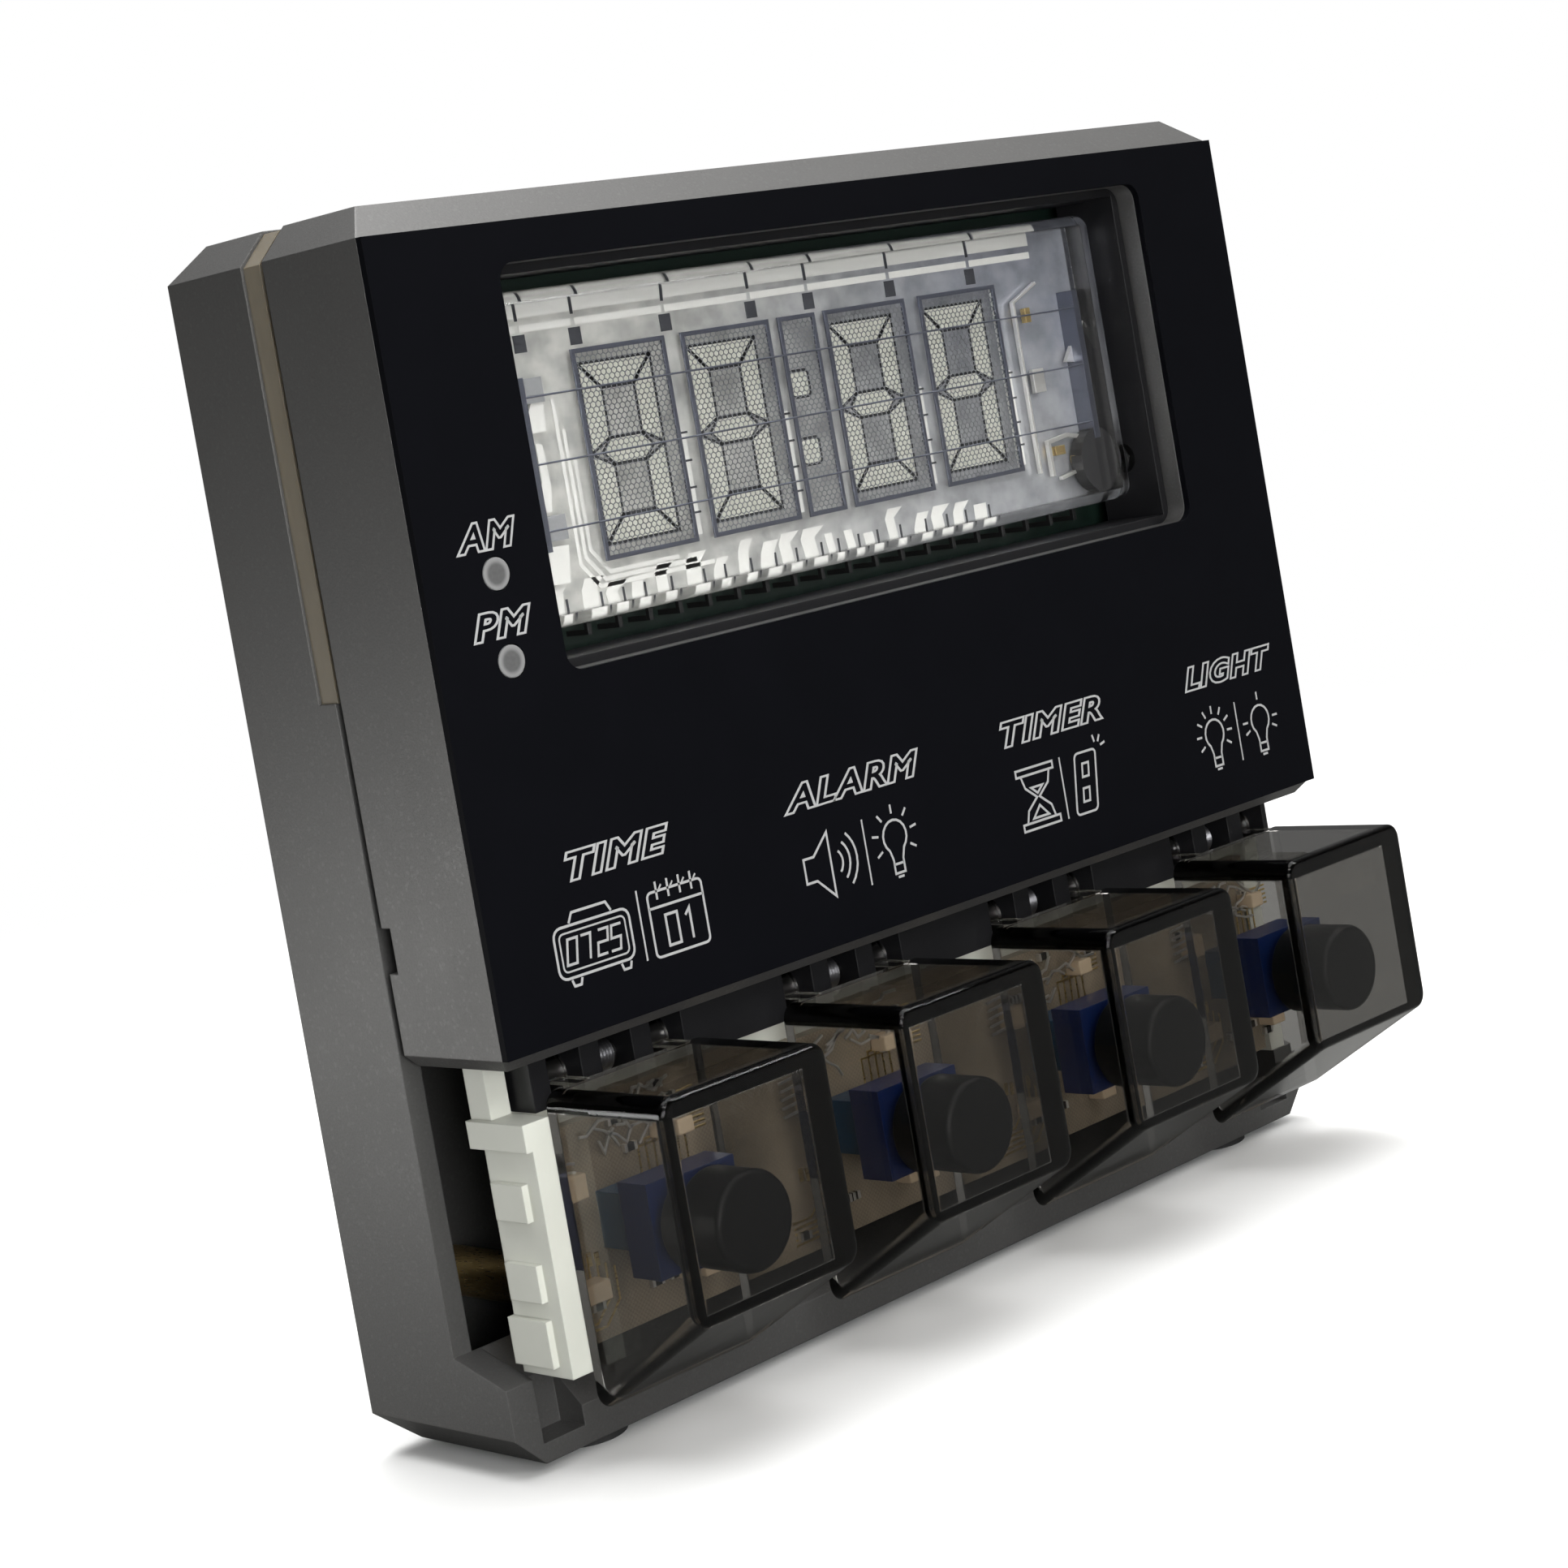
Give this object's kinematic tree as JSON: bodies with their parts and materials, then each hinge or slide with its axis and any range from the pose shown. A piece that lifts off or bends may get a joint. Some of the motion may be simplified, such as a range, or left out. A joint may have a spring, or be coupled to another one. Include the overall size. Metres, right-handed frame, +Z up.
{
  "type": "desk alarm clock",
  "caption": "Desk clock with a flat vacuum fluorescent display in a two-shell grey aluminium case, above a row of clear hinged punch keys with round plungers.",
  "frame": {"origin": "middle of the clock's footprint, on the surface it stands on", "axes": "+X to the right seen from the front, +Y towards the rear wall, +Z up"},
  "size_m": [0.12, 0.0434, 0.1173],
  "materials": {
    "anodised_case": "bead blasted, grey anodised",
    "black_panel": "smooth black with white print",
    "black_plastic": "fine matte",
    "tube_glass": "polished",
    "plate_glass": "printed with conductive traces",
    "display_steel": "etched",
    "lead_metal": "tinned",
    "strip_diffuser": "translucent tan",
    "indicator_guide": "frosted",
    "clear_smoke": "polished smoky polycarbonate",
    "plunger_black": "satin",
    "switch_blue": "moulded",
    "switch_foot_blue": "moulded",
    "bracket_white": "moulded",
    "board_tan": "laminate",
    "board_dark": "solder mask",
    "chip_black": "moulded",
    "steel": "ground",
    "spring_steel": "drawn",
    "brass_post": "turned",
    "rubber_black": "matte",
    "ribbon_film": "polyimide",
    "copper_coil": "ferrite"
  },
  "bodies": {
    "case": {"am_light": "indicator_guide", "board_posts": "brass_post", "bracket_posts": "brass_post", "buzzer": "chip_black", "cell_holder": "black_plastic", "clock_crystal": "steel", "coin_cell": "steel", "controller_chip": "chip_black", "display_bezel": "black_plastic", "display_filaments": "display_steel", "display_glass": "tube_glass", "display_grids": "display_steel", "display_leads": "lead_metal", "display_plate": "plate_glass", "display_tip": "tube_glass", "driver_chip": "chip_black", "front_housing": "anodised_case", "front_panel": "black_panel", "hinge_rail": "black_plastic", "hinge_shaft": "steel", "indicator_sources": "indicator_guide", "key_board": "board_tan", "key_bracket": "bracket_white", "key_ribbon": "ribbon_film", "light_strip": "strip_diffuser", "liner_frame": "black_plastic", "main_board": "board_dark", "pm_light": "indicator_guide", "power_board": "board_dark", "power_socket": "steel", "power_tongue": "black_plastic", "rear_housing": "anodised_case", "rear_screws": "steel", "rubber_feet": "rubber_black", "spring_alarm": "spring_steel", "spring_light": "spring_steel", "spring_time": "spring_steel", "spring_timer": "spring_steel", "supply_capacitor": "steel", "supply_coil": "copper_coil", "switch_alarm": "switch_blue", "switch_foot_alarm": "switch_foot_blue", "switch_foot_light": "switch_foot_blue", "switch_foot_time": "switch_foot_blue", "switch_foot_timer": "switch_foot_blue", "switch_light": "switch_blue", "switch_time": "switch_blue", "switch_timer": "switch_blue"},
    "key_time": {"key_time": "clear_smoke"},
    "plunger_time": {"plunger_time": "plunger_black"},
    "key_alarm": {"key_alarm": "clear_smoke"},
    "plunger_alarm": {"plunger_alarm": "plunger_black"},
    "key_timer": {"key_timer": "clear_smoke"},
    "plunger_timer": {"plunger_timer": "plunger_black"},
    "key_light": {"key_light": "clear_smoke"},
    "plunger_light": {"plunger_light": "plunger_black"}
  },
  "joints": [
    {"name": "time_key_press", "type": "hinge", "parent": "case", "child": "key_time", "pos_m": [-0.04335, -0.0007, 0.0357], "axis": [1, 0, 0], "range_deg": [0, 4], "stiffness_Nm_per_rad": 0.28, "springref_deg": -1.72},
    {"name": "time_plunger_slide", "type": "slide", "parent": "case", "child": "plunger_time", "axis": [0, 1, 0], "range_m": [0, 0.0012]},
    {"name": "alarm_key_press", "type": "hinge", "parent": "case", "child": "key_alarm", "pos_m": [-0.01295, -0.0007, 0.0357], "axis": [1, 0, 0], "range_deg": [0, 4], "stiffness_Nm_per_rad": 0.28, "springref_deg": -1.72},
    {"name": "alarm_plunger_slide", "type": "slide", "parent": "case", "child": "plunger_alarm", "axis": [0, 1, 0], "range_m": [0, 0.0012]},
    {"name": "timer_key_press", "type": "hinge", "parent": "case", "child": "key_timer", "pos_m": [0.01745, -0.0007, 0.0357], "axis": [1, 0, 0], "range_deg": [0, 4], "stiffness_Nm_per_rad": 0.28, "springref_deg": -1.72},
    {"name": "timer_plunger_slide", "type": "slide", "parent": "case", "child": "plunger_timer", "axis": [0, 1, 0], "range_m": [0, 0.0012]},
    {"name": "light_key_press", "type": "hinge", "parent": "case", "child": "key_light", "pos_m": [0.04785, -0.0007, 0.0357], "axis": [1, 0, 0], "range_deg": [0, 4], "stiffness_Nm_per_rad": 0.28, "springref_deg": -1.72},
    {"name": "light_plunger_slide", "type": "slide", "parent": "case", "child": "plunger_light", "axis": [0, 1, 0], "range_m": [0, 0.0012]}
  ],
  "couplings": [
    {"joint": "time_plunger_slide", "follows": "time_key_press", "m_per_rad": 0.0155},
    {"joint": "alarm_plunger_slide", "follows": "alarm_key_press", "m_per_rad": 0.0155},
    {"joint": "timer_plunger_slide", "follows": "timer_key_press", "m_per_rad": 0.0155},
    {"joint": "light_plunger_slide", "follows": "light_key_press", "m_per_rad": 0.0155}
  ]
}
